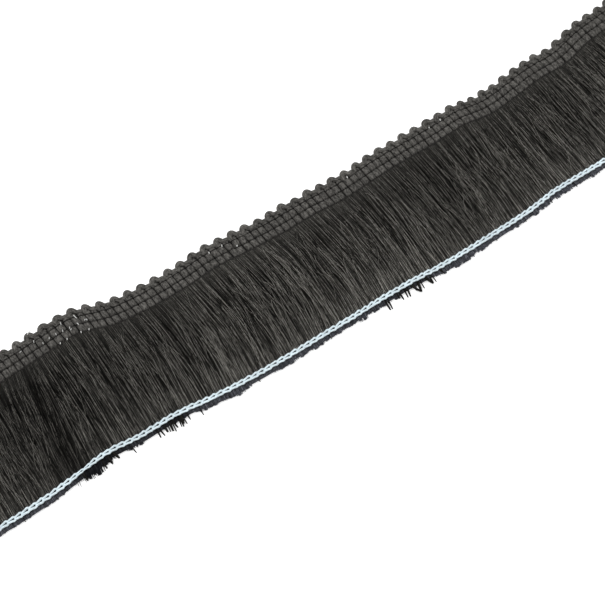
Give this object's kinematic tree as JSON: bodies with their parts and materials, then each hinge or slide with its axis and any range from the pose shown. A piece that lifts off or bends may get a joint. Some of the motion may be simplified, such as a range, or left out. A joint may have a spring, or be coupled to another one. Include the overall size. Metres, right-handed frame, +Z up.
{
  "type": "fringe trim",
  "caption": "Cut length of dark brush fringe trim lying flat: woven heading with a scalloped loop edge, dense yarn skirt and a pale chain stitch along its cut ends.",
  "frame": {"origin": "on the floor plane under the middle of the whole box", "axes": "+X along the strip's length, +Y towards the scalloped loop edge, +Z up out of the face"},
  "size_m": [0.3324, 0.0656, 0.0021],
  "materials": {
    "heading_yarn": "matt twistless yarn woven in ribs, dark charcoal",
    "fringe_yarn": "soft dark charcoal yarn with a faint silky glint along the strands",
    "chain_thread": "pale blue-white matt cotton thread"
  },
  "bodies": {
    "root": {"heading": "heading_yarn", "fringe": "fringe_yarn", "chain_stitch": "chain_thread"}
  },
  "joints": []
}
